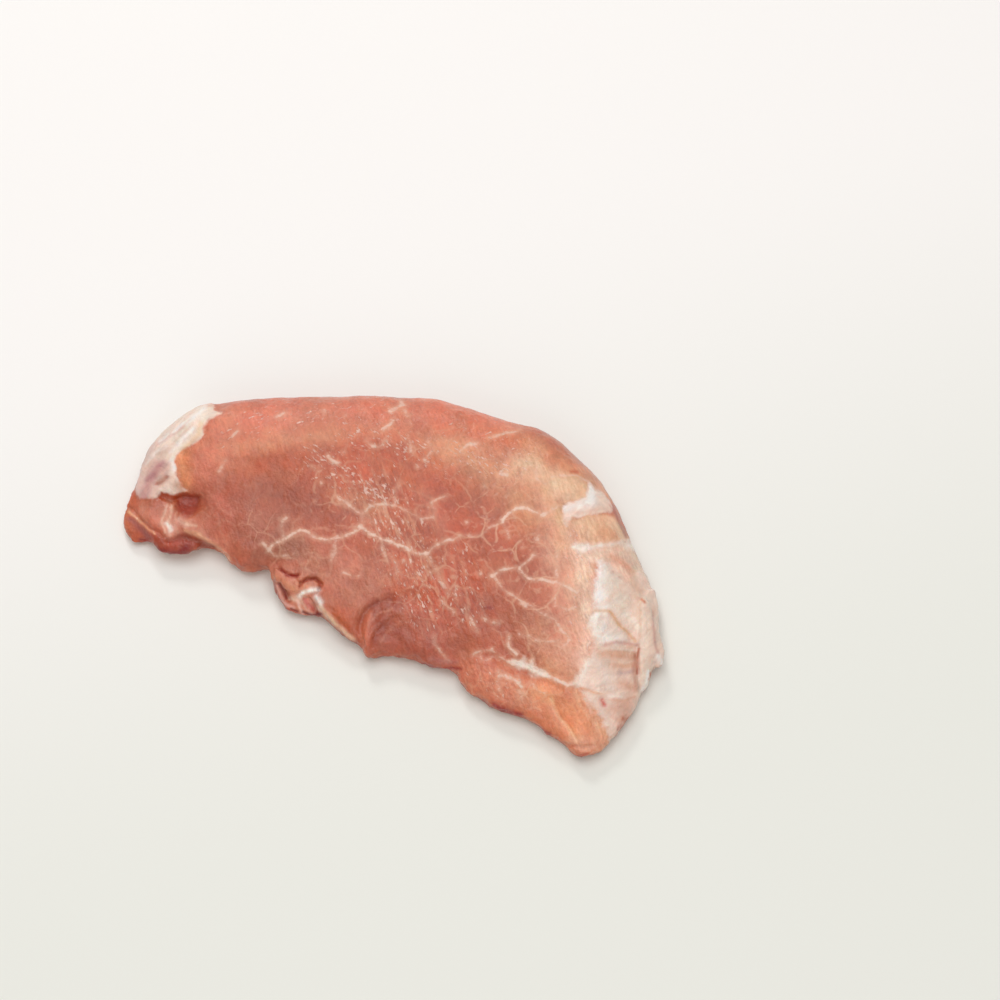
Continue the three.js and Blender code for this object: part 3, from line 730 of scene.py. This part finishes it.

# %% [markdown]
# The marbling. Fat runs through the muscle as pale veins that meet in knots like stars. The large ones
# are what this slice is known by, so each is traced and kept as a distance, like the edge of
# the fat. The finest ones and the small flecks could be traced too, but there are hundreds. The mesh
# only says where they are dense, and patterns in the material draw them.

# %% Trace the veins
# name: line, half width in pixels and strength
VEINS = {
    "long vein to the star": ([
        (268, 552), (273, 545), (279, 541), (288, 536), (300, 530), (308, 533), (316, 538), (326, 540),
        (338, 538), (348, 535), (360, 528)], 1.1, 0.8),
    "its end": ([(262, 542), (268, 550), (275, 556), (287, 556)], 1.1, 0.55),
    "spur up": ([(284, 538), (281, 529), (282, 521)], 0.8, 0.4),
    "pale dash": ([(281, 519), (286, 518)], 1.4, 0.6),
    "star to the second star": ([
        (360, 527), (369, 533), (380, 538), (395, 544), (408, 549), (418, 554), (428, 554)], 1.1, 0.9),
    "branch up": ([(361, 527), (361, 516), (354, 508), (344, 502), (338, 497)], 1.0, 0.65),
    "branch to the right": ([(362, 514), (368, 508), (376, 505), (386, 504), (396, 505)], 1.0, 0.7),
    "its loop": ([(396, 504), (395, 494), (397, 486)], 0.8, 0.5),
    "second star to the right": ([
        (428, 554), (433, 547), (441, 543), (446, 540), (456, 538), (461, 534)], 1.0, 0.75),
    "onward, faint": ([(461, 534), (471, 537), (481, 535), (490, 528), (501, 522)], 0.9, 0.45),
    "right shoulder": ([
        (501, 522), (508, 513), (516, 509), (524, 507), (531, 509), (541, 516)], 1.0, 0.9),
    "right shoulder's end": ([(541, 516), (549, 512), (557, 507)], 1.2, 0.6),
    "short branch": ([(502, 523), (507, 530), (509, 538)], 0.9, 0.45),
    "right star": ([(492, 575), (499, 571), (511, 568), (520, 567)], 1.1, 0.75),
    "its branch up": ([(520, 567), (528, 561), (534, 555)], 0.9, 0.5),
    "right star down": ([(492, 575), (497, 582), (504, 590), (515, 597)], 0.9, 0.5),
    "dashes below": ([(520, 603), (527, 606)], 1.3, 0.55),
    "right star to the wall": ([
        (519, 569), (528, 578), (540, 580), (556, 582), (566, 586), (576, 592)], 1.2, 0.8),
    "upright vein": ([(557, 556), (557, 575), (556, 590), (555, 606)], 0.9, 0.6),
    "hook": ([(545, 615), (553, 619), (560, 628), (567, 635), (569, 640), (565, 645)], 1.1, 0.65),
    "foot of the hook": ([(536, 640), (545, 642), (556, 641), (562, 645)], 0.9, 0.5),
    "bright knot": ([(509, 634), (508, 644), (511, 649), (516, 655)], 1.2, 0.75),
    "low fork": ([(470, 617), (474, 625), (477, 631)], 1.0, 0.65),
    "low fork's arm": ([(484, 618), (490, 622), (500, 623)], 0.9, 0.55),
    "fan of the second star": ([(430, 558), (434, 567), (440, 578), (449, 591)], 0.9, 0.65),
    "stroke beside the fan": ([(456, 586), (456, 599)], 0.7, 0.6),
    "line down from the long vein": ([(381, 540), (383, 550), (388, 562)], 0.8, 0.45),
    "arc below the long vein": ([(392, 557), (397, 564), (398, 572)], 0.9, 0.6),
    "line down on the left": ([(335, 541), (334, 552), (331, 560)], 1.6, 0.35),
    "long fleck": ([(441, 600), (447, 606), (453, 612)], 0.8, 0.6),
    "pale fork": ([(343, 572), (353, 577), (360, 576)], 0.9, 0.45),
    "start of the fat seam": ([(474, 654), (482, 651), (492, 650), (500, 657), (508, 662)], 0.9, 0.55),
    "line to the small cell": ([(396, 505), (405, 510), (421, 519), (434, 518)], 0.7, 0.5),
    "round the small cell": ([(434, 518), (435, 508), (431, 503), (439, 498), (446, 496)], 0.7, 0.5),
    "bright end of the fan": ([(437, 574), (443, 584), (449, 594)], 0.9, 0.75),
    "thread in the upper red": ([(408, 436), (410, 444), (411, 452)], 0.8, 0.5),
    "second thread there": ([(429, 442), (432, 450), (428, 458)], 0.8, 0.5),
    "thread from the right star": ([(515, 597), (528, 604), (541, 612), (546, 615)], 0.7, 0.5),
    "thread to the wall": ([(556, 606), (566, 609), (578, 607)], 0.7, 0.5),
    "thread beside the knot": ([(519, 634), (530, 636), (541, 640)], 0.6, 0.45),
    "fat seam": ([
        (508, 662), (517, 665), (526, 666), (533, 669), (541, 673), (549, 677), (558, 680), (567, 684),
        (576, 684)], 1.5, 0.95),
    "wide part of the seam": ([(513, 663), (528, 667), (546, 675)], 2.9, 1.0),
    "first spur of the seam": ([(526, 665), (524, 659)], 1.2, 0.8),
    "second spur of the seam": ([(530, 667), (532, 659)], 1.1, 0.8),
    "seam's branch": ([(498, 672), (507, 677), (515, 680), (520, 684), (524, 694)], 1.2, 0.8),
    "branch of that branch": ([(499, 675), (498, 683), (500, 690)], 0.9, 0.6),
    "ring at the seam's start": ([(484, 651), (480, 655), (482, 660), (489, 660), (494, 656)], 0.9, 0.4),
    "line in the lobe": ([(521, 684), (519, 676)], 0.9, 0.5),
    "bits in the lobe": ([(518, 691), (522, 696), (522, 702)], 1.6, 0.4),
    "threads in the lobe": ([(532, 684), (537, 690), (545, 694)], 0.8, 0.45),
    "branch at the lower edge": ([(434, 636), (435, 645), (442, 653), (448, 660)], 1.1, 0.5),
    "lower edge of the tan muscle": ([
        (576, 547), (583, 545), (592, 548), (604, 545), (613, 544), (622, 541), (629, 541),
        (636, 552)], 1.7, 0.95),
    "line above the pale muscle": ([(551, 477), (565, 475), (577, 477), (588, 481)], 0.9, 0.5),
    "knot on the shoulder": ([(390, 411), (398, 408), (403, 405), (401, 402)], 1.5, 0.65),
    "end of that knot": ([(404, 410), (408, 416)], 1.3, 0.6),
    "curl on the shoulder": ([(383, 430), (389, 425), (393, 420)], 1.2, 0.65),
    "ring below it": ([(366, 440), (372, 446), (380, 447), (386, 440)], 0.9, 0.65),
    "streak near the rim": ([(489, 437), (500, 434), (519, 431)], 0.9, 0.65),
    "dash at the right shoulder": ([(460, 451), (466, 446), (478, 443)], 1.3, 0.65),
    "short bright dash": ([(501, 474), (507, 476)], 1.6, 0.75),
    "curve on the peach": ([(536, 470), (538, 480), (545, 484)], 1.2, 0.45),
    "streak on the left": ([(233, 436), (238, 431)], 1.0, 0.6),
    "streak beyond it": ([(218, 472), (226, 460)], 1.2, 0.4),
    "dash over the middle": ([(327, 456), (333, 461), (338, 463)], 1.3, 0.7),
    "dash left of it": ([(312, 467), (318, 471)], 1.0, 0.5),
    "dash on the shoulder": ([(277, 418), (284, 413)], 1.1, 0.6),
    "dot near the rim": ([(324, 411), (325, 412)], 1.5, 0.5),
}
# Where veins meet, the fat spreads: place, half width in pixels and strength.
KNOTS = [
    ((360, 526), 2.6, 0.9), ((426, 554), 2.8, 0.9), ((502, 522), 2.4, 0.85), ((492, 575), 2.4, 0.8),
    ((528, 578), 1.8, 0.7), ((480, 573), 1.6, 0.5), ((537, 539), 2.2, 0.75), ((546, 615), 2.2, 0.6),
    ((579, 590), 1.8, 0.6), ((534, 555), 1.6, 0.55), ((582, 547), 4.0, 0.85), ((631, 549), 2.6, 0.8),
    ((425, 460), 1.8, 0.7), ((417, 466), 1.5, 0.5), ((484, 486), 1.8, 0.5), ((466, 522), 1.3, 0.5),
    ((321, 483), 1.6, 0.5), ((572, 683), 2.6, 0.8), ((528, 667), 3.2, 0.95), ((519, 664), 2.8, 0.9),
    ((345, 453), 1.4, 0.5), ((515, 597), 1.6, 0.5), ((398, 547), 1.6, 0.6), ((337, 537), 1.6, 0.5),
    ((403, 561), 1.8, 0.45), ((345, 415), 1.8, 0.35),
]
VEIN_STRAY = 1.4
NO_VEIN_MM = 9.0
marks = list(VEINS.values()) + [([spot, spot], width, strength) for spot, width, strength in KNOTS]
vein_gap = np.full(len(places), NO_VEIN_MM)
vein_strength = np.zeros(len(places))
for line, width, strength in marks:
    gap = MM_PER_PIXEL * (gap_to_line(pixels + VEIN_STRAY * fine_stray, line) - width)
    nearer = gap < vein_gap
    vein_gap = np.where(nearer, gap, vein_gap)
    vein_strength = np.where(nearer, strength, vein_strength)
vein_strength *= facing
print("veins and knots:", len(marks))

# %% Say where the marbling and the flecks are
# name: line through the middle of the patch, its half width in pixels and its strength
MARBLED = {
    "middle": ([(345, 500), (400, 540), (440, 580)], 48, 0.9),
    "right": ([(480, 520), (540, 560), (540, 640)], 48, 1.0),
    "lower left": ([(240, 520), (310, 560)], 28, 0.5),
    "upper right": ([(410, 440), (470, 460), (545, 500)], 26, 0.8),
    "lower lobe": ([(480, 685), (540, 700)], 20, 0.85),
}
STEEP_FLECKS = {
    "right of the first star": ([(380, 492), (398, 530), (415, 570), (430, 598)], 30, 1.4),
    "under the upper red": ([(365, 490), (378, 512)], 18, 0.8),
    "right": ([(465, 555), (472, 615)], 18, 1.0),
    "before the wall": ([(578, 540), (584, 580), (586, 640)], 14, 1.1),
    "lower lobe": ([(478, 672), (500, 690)], 14, 0.8),
}
SLANTED_FLECKS = {
    "over the middle": ([(318, 456), (345, 474), (376, 492)], 18, 1.6),
    "upper middle": ([(350, 432), (400, 445), (450, 455), (505, 462)], 20, 1.3),
}
RISING_FLECKS = {
    "left of the shoulder": ([(222, 440), (250, 422), (290, 416)], 18, 0.8),
    "along the shoulder": ([(290, 414), (345, 412), (400, 412)], 15, 0.7),
    "rim": ([(440, 416), (490, 432), (530, 450)], 14, 0.6),
}
HIDDEN_MARBLING = 0.5
HIDDEN_FLECKS = 0.25


def patchwork(patches, hidden_share):
    """The strongest of the patches at each point; the hidden faces get a share of their own."""
    share = np.zeros(len(places))
    for line, width, strength in patches.values():
        share = np.maximum(share, strength * stroke_share(pixels + STRAY * stray, line, width))
    return share * facing + hidden_share * (1 - facing)


def keep_on_points(name, values):
    """Stores a number or a colour for every point of the mesh, for the material to read."""
    is_colour = values.ndim == 2
    kept = meat.data.attributes.new(name, "FLOAT_COLOR" if is_colour else "FLOAT", "POINT")
    if is_colour:
        values = np.concatenate([values, np.ones((len(values), 1))], axis=1)
    kept.data.foreach_set("color" if is_colour else "value", values.astype(np.float32).ravel())


KEPT = {
    "meat_tone": meat_tone,
    "fat_tone": fat_tone,
    "fat_depth": fat_depth,
    "vein_gap": vein_gap,
    "vein_strength": vein_strength,
    "marbled": patchwork(MARBLED, HIDDEN_MARBLING),
    "steep_flecks": patchwork(STEEP_FLECKS, HIDDEN_FLECKS),
    "slanted_flecks": patchwork(SLANTED_FLECKS, HIDDEN_FLECKS),
    "rising_flecks": patchwork(RISING_FLECKS, HIDDEN_FLECKS),
}
for name, values in KEPT.items():
    keep_on_points(name, values)
print("kept on the points:", ", ".join(KEPT))

# %% [markdown]
# The material. Raw meat is moist and lets light in: it scatters under the surface, so its shadows
# glow red, and a film of water gives small sharp glints over a softer sheen. One Principled shader
# does both, with subsurface scattering and a coat. Its colour starts from the painted tones. The
# muscle is bundles of fibres, so the cells of a Voronoi pattern each get a slightly different shade,
# and broken nets of marbling run along their edges. Over that come the flecks that lie along the
# fibres, which are partly pale fibres and partly painted glints, the traced veins, and the fat with
# its own tones. The same patterns drive a fine bump.

# %% Helpers for wiring nodes
class Wiring:
    """Adds shader nodes to a material and links them."""

    def __init__(self, material):
        material.use_nodes = True
        self.tree = material.node_tree
        self.tree.nodes.clear()

    def node(self, kind, inputs=None, **settings):
        made = self.tree.nodes.new(kind)
        for name, value in settings.items():
            setattr(made, name, value)
        for name, value in (inputs or {}).items():
            self.feed(made.inputs[name], value)
        return made

    def feed(self, socket, value):
        if isinstance(value, bpy.types.NodeSocket):
            self.tree.links.new(value, socket)
        else:
            socket.default_value = value

    def math(self, operation, first, second=0.0):
        return self.node("ShaderNodeMath", {0: first, 1: second}, operation=operation).outputs[0]

    def band(self, value, low, high, start=0.0, end=1.0):
        """Goes smoothly from start to end as the value goes from low to high."""
        inputs = {"Value": value, "From Min": low, "From Max": high, "To Min": start, "To Max": end}
        return self.node("ShaderNodeMapRange", inputs, interpolation_type="SMOOTHSTEP").outputs[0]

    def mix(self, share, first, second, blend="MIX"):
        made = self.node("ShaderNodeMix", data_type="RGBA", blend_type=blend)
        self.feed(made.inputs[0], share)
        self.feed(made.inputs[6], first)
        self.feed(made.inputs[7], second)
        return made.outputs[2]

    def noise(self, place, size_mm, detail=3.0, roughness=0.55):
        inputs = {"Vector": place, "Scale": 1000 / size_mm, "Detail": detail, "Roughness": roughness}
        return self.node("ShaderNodeTexNoise", inputs).outputs["Fac"]

    def cells(self, place, size_mm, kind):
        inputs = {"Vector": place, "Scale": 1000 / size_mm}
        return self.node("ShaderNodeTexVoronoi", inputs, feature=kind).outputs

    def attribute(self, name, output="Fac"):
        return self.node("ShaderNodeAttribute", attribute_name=name).outputs[output]

    def drawn_out(self, place, direction, times):
        """The place as patterns need it to run along a direction, in degrees from +X, that much longer."""
        turn = {"Vector": place, "Rotation": (0, 0, math.radians(direction)), "Scale": (times, 1, 1)}
        return self.node("ShaderNodeMapping", turn, vector_type="TEXTURE").outputs[0]


# %% Patterns of the muscle
CELL_MM = 9.0
SMALL_CELL_MM = 4.6
NET_LINE_MM = 0.50
WIDE_NET_SHARE = 0.62
CLOSE_NET_SHARE = 0.38
WARP_MM = 1.3
WARP_WAVE_MM = 7
# Directions are in degrees from +X. A pattern that is drawn out is so many times longer than wide.
FIBRE_DIRECTION = -42
FIBRE_LENGTH = 5
FLECK_DIRECTIONS = {"steep_flecks": -38, "slanted_flecks": -9, "rising_flecks": 58}
FLECK_MM = 0.8
FLECK_LENGTH = 2.6
# A fleck shows where the grain is brighter than this. Where flecks are dense, less is enough.
FLECK_FROM = 0.66
FLECK_FULL = 0.78
DENSE_EASE = 0.09

moist = bpy.data.materials.new("moist_pork")
pork = Wiring(moist)
place = pork.node("ShaderNodeTexCoord").outputs["Object"]
warp = {"Vector": place, "Scale": 1000 / WARP_WAVE_MM, "Detail": 2.0}
warp = pork.node("ShaderNodeTexNoise", warp).outputs["Color"]
warp = pork.node("ShaderNodeVectorMath", {0: warp, 1: (0.5, 0.5, 0.5)}, operation="SUBTRACT").outputs[0]
warp = pork.node("ShaderNodeVectorMath", {0: warp, "Scale": 4 * WARP_MM / 1000}, operation="SCALE").outputs[0]
warped = pork.node("ShaderNodeVectorMath", {0: place, 1: warp}, operation="ADD").outputs[0]

coarse = pork.noise(place, 14, detail=2)
middle = pork.noise(place, 5, detail=3)
small = pork.noise(place, 2.4, detail=2)
fine = pork.noise(place, 0.85, detail=3, roughness=0.6)
along_fibres = pork.drawn_out(place, FIBRE_DIRECTION, FIBRE_LENGTH)
fibre = pork.noise(along_fibres, 0.8, detail=3, roughness=0.6)
veil = pork.noise(along_fibres, 1.5, detail=3)


def net(size_mm, share, gaps):
    """Soft lines along the edges of cells, broken where the gaps pattern is dark."""
    edge = pork.cells(warped, size_mm, "DISTANCE_TO_EDGE")["Distance"]
    lines = pork.math("MULTIPLY", pork.band(edge, NET_LINE_MM / size_mm, 0.0), gaps)
    return pork.math("MULTIPLY", lines, share)


wide_net = net(CELL_MM, WIDE_NET_SHARE, pork.band(middle, 0.37, 0.55))
close_net = net(SMALL_CELL_MM, CLOSE_NET_SHARE, pork.band(small, 0.45, 0.64))
nets = pork.math("MULTIPLY", pork.math("MAXIMUM", wide_net, close_net), pork.attribute("marbled"))


def frayed(edge, pattern, amount_mm):
    """An edge, kept as a distance in mm, that a pattern pushes out and in by an amount."""
    return pork.math("ADD", edge, pork.math("MULTIPLY", pork.math("SUBTRACT", pattern, 0.5), amount_mm))


vein_edge = frayed(frayed(pork.attribute("vein_gap"), fine, 0.8), small, -0.9)
patchy = pork.band(small, 0.36, 0.60, 0.30, 1.0)
core = pork.math("MULTIPLY", pork.band(vein_edge, 0.24, -0.34), patchy)
veins = pork.math("MULTIPLY", core, pork.attribute("vein_strength"))
glow = pork.math("MULTIPLY", pork.band(vein_edge, 1.2, -0.1, 0.0, 0.45), pork.attribute("vein_strength"))


def fleck_set(name, direction):
    """Short bright strokes along a direction, as many as the named density says."""
    density = pork.attribute(name)
    grain = pork.noise(pork.drawn_out(place, direction, FLECK_LENGTH), FLECK_MM, detail=2, roughness=0.6)
    grain = pork.math("ADD", grain, pork.math("MULTIPLY", density, DENSE_EASE))
    return pork.math("MULTIPLY", pork.band(grain, FLECK_FROM, FLECK_FULL), pork.band(density, 0.1, 0.5))


steep, slanted, rising = [fleck_set(*entry) for entry in FLECK_DIRECTIONS.items()]
flecks = pork.math("MAXIMUM", pork.math("MAXIMUM", steep, slanted), rising)
flecks = pork.math("MULTIPLY", flecks, pork.band(small, 0.34, 0.50))
veils = pork.math("MULTIPLY", pork.band(veil, 0.48, 0.70, 0.0, 0.40), pork.attribute("steep_flecks"))
print("nodes for the patterns:", len(pork.tree.nodes))

# %% Mix the colour of the muscle
bundles = pork.cells(warped, CELL_MM, "SMOOTH_F1")["Color"]
bundles = pork.node("ShaderNodeSeparateColor", {0: bundles}).outputs
patches = pork.noise(warped, 3.5, detail=1)


def shaded(tone, value):
    """A tone made darker or lighter by a value near 1."""
    shade = pork.node("ShaderNodeCombineColor", {0: value, 1: value, 2: value}).outputs[0]
    return pork.mix(1.0, tone, shade, blend="MULTIPLY")


value = pork.band(coarse, 0.3, 0.7, 0.96, 1.05)
for pattern, amount in [(middle, 0.06), (small, 0.04), (fine, 0.06)]:
    value = pork.math("ADD", value, pork.band(pattern, 0.3, 0.7, -amount, amount))
# The fibres show most among the steep flecks.
fibrous = pork.math("ADD", 1.0, pork.math("MULTIPLY", pork.attribute("steep_flecks"), 2.0))
value = pork.math("ADD", value, pork.math("MULTIPLY", pork.band(fibre, 0.3, 0.7, -0.035, 0.035), fibrous))
value = pork.math("ADD", value, pork.band(bundles[0], 0.2, 0.8, -0.07, 0.07))
meat_colour = shaded(pork.attribute("meat_tone", "Color"), value)

# Bundles, patches and fibres turn the colour between a redder and a paler tint.
TINT_SHARE = 0.8
TINTS = [
    (pork.band(bundles[1], 0.2, 0.8), (1.02, 0.91, 0.89, 1), (1.01, 1.05, 1.01, 1)),
    (pork.band(patches, 0.35, 0.65), (1.02, 0.94, 0.92, 1), (1.01, 1.04, 1.01, 1)),
    (pork.band(fibre, 0.35, 0.65), (0.96, 0.87, 0.84, 1), (1.02, 1.06, 1.07, 1)),
]
for share, redder, paler in TINTS:
    meat_colour = pork.mix(TINT_SHARE, meat_colour, pork.mix(share, redder, paler), blend="MULTIPLY")

MARBLING = (0.76, 0.42, 0.27, 1)
# The flecks are partly pale fibres and partly painted glints of the wet film.
GLINT_AND_FLECK_SHARE = 0.64
FLECK = (0.95, 0.70, 0.60, 1)
VEIN_GLOW = (0.80, 0.46, 0.31, 1)
VEIN = (0.86, 0.61, 0.49, 1)
meat_colour = pork.mix(pork.math("MAXIMUM", nets, veils), meat_colour, MARBLING)
meat_colour = pork.mix(pork.math("MULTIPLY", flecks, GLINT_AND_FLECK_SHARE), meat_colour, FLECK)
meat_colour = pork.mix(glow, meat_colour, VEIN_GLOW)
meat_colour = pork.mix(veins, meat_colour, VEIN)

# %% Mix the colour of the fat, and lay it beside
FAT_DIRECTION = 76
THIN_FAT = (0.80, 0.50, 0.38, 1)

streaks = pork.noise(pork.drawn_out(warped, FAT_DIRECTION, 4), 1.4, detail=3)
fat_value = pork.band(middle, 0.3, 0.7, 0.95, 1.05)
fat_value = pork.math("ADD", fat_value, pork.band(streaks, 0.3, 0.7, -0.07, 0.07))
fat_colour = shaded(pork.attribute("fat_tone", "Color"), fat_value)
# Where the fat is thin, the meat shines through.
thinness = pork.noise(pork.drawn_out(warped, FAT_DIRECTION, 2.5), 2.4, detail=3)
fat_colour = pork.mix(pork.band(thinness, 0.46, 0.70, 0.0, 0.42), fat_colour, THIN_FAT)
fat_edge = frayed(pork.attribute("fat_depth"), pork.noise(place, 1.8, detail=3), 1.1)
colour = pork.mix(pork.band(fat_edge, -0.42, 0.36), meat_colour, fat_colour)

# %% Give it relief and gloss
height = pork.math("MULTIPLY", fibre, 0.35)
for pattern, share in [(fine, 0.7), (small, 1.0), (flecks, 0.5), (veins, 0.3)]:
    height = pork.math("ADD", height, pork.math("MULTIPLY", pattern, share))
bump = pork.node("ShaderNodeBump", {"Strength": 0.65, "Distance": 0.0005, "Height": height}).outputs[0]
roughness = pork.band(middle, 0.3, 0.7, 0.34, 0.48)

# Light goes almost 2 mm deep, and red light goes furthest.
skin = pork.node("ShaderNodeBsdfPrincipled", {
    "Base Color": colour,
    "Roughness": roughness,
    "Normal": bump,
    "Subsurface Weight": 0.25,
    "Subsurface Radius": (1.0, 0.36, 0.22),
    "Subsurface Scale": 0.0018,
    "Specular IOR Level": 0.4,
    "Coat Weight": 0.5,
    "Coat Roughness": 0.13,
    "Coat IOR": 1.36,
    "Coat Normal": bump,
})
pork.node("ShaderNodeOutputMaterial", {"Surface": skin.outputs[0]})
meat.data.materials.clear()
meat.data.materials.append(moist)
print("nodes for the meat:", len(pork.tree.nodes))

# %% [markdown]
# The set: a plain pale floor under broad soft light. Its colour goes from near white at the back left
# to a little greyer in front, which is painted light falling off toward the front. A wide lamp overhead
# fills the meat evenly. A smaller one behind it, on the left, skims the face, and the moist bumps
# throw its light back as glints. A weak one in front lights the torn edge. A picture of a room as
# surroundings would be quicker, but its windows would show in the wet skin.

# %% Lay the floor
FLOOR_SIDE = 8
# The floor is painted paler along this direction, in degrees from +X, from one distance to the other in
# metres.
# This is painted light: brighter at the back left, greyer in front.
PALING_DIRECTION = 136
PALING_FROM = -0.10
PALING_TO = 0.12
SHADED_FRONT_GREY = (0.850, 0.848, 0.788, 1)
LIT_BACK_WHITE = (0.958, 0.928, 0.902, 1)

floor_mesh = bpy.data.meshes.new("floor")
shape = bmesh.new()
bmesh.ops.create_grid(shape, x_segments=1, y_segments=1, size=FLOOR_SIDE / 2)
shape.to_mesh(floor_mesh)
shape.free()
floor = bpy.data.objects.new("floor", floor_mesh)
bpy.context.scene.collection.objects.link(floor)

pale = bpy.data.materials.new("pale_floor")
ground = Wiring(pale)
floor_place = ground.drawn_out(ground.node("ShaderNodeTexCoord").outputs["Object"], PALING_DIRECTION, 1)
along = ground.node("ShaderNodeSeparateXYZ", {0: floor_place}).outputs["X"]
painted_paling = ground.band(along, PALING_FROM, PALING_TO)
floor_colour = ground.mix(painted_paling, SHADED_FRONT_GREY, LIT_BACK_WHITE)
matte = {"Base Color": floor_colour, "Roughness": 0.9, "Specular IOR Level": 0.1}
matte = ground.node("ShaderNodeBsdfPrincipled", matte)
ground.node("ShaderNodeOutputMaterial", {"Surface": matte.outputs[0]})
floor_mesh.materials.append(pale)
print("floor:", FLOOR_SIDE, "m each way")

# %% Light the set
def soft_lamp(name, place, size, power):
    """A square lamp that looks at the middle of the slice."""
    data = bpy.data.lights.new(name, "AREA")
    data.size = size
    data.energy = power
    lamp = bpy.data.objects.new(name, data)
    lamp.location = place
    lamp.rotation_mode = "QUATERNION"
    lamp.rotation_quaternion = (-Vector(place)).to_track_quat("-Z", "Y")
    bpy.context.scene.collection.objects.link(lamp)


# name: place and side in metres, and power in watts
LAMPS = {
    "overhead": ((-0.1, 0.1, 1.5), 1.3, 11.4),
    "glints": ((-0.75, 0.75, 0.8), 0.26, 3.8),
    "front": ((0.6, -1.1, 0.7), 0.8, 2.9),
}
for name, (spot, side, power) in LAMPS.items():
    soft_lamp(name, spot, side, power)
print("lamps:", ", ".join(LAMPS))

world = bpy.data.worlds.new("studio")
world.use_nodes = True
sky = world.node_tree.nodes["Background"]
sky.inputs["Color"].default_value = (1, 0.99, 0.975, 1)
sky.inputs["Strength"].default_value = 0.39
scene = bpy.context.scene
scene.world = world
scene.view_settings.view_transform = "Standard"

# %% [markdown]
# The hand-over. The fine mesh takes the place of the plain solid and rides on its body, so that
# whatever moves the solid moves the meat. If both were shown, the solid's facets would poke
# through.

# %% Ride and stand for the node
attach(meat, "root")
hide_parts(NODE)
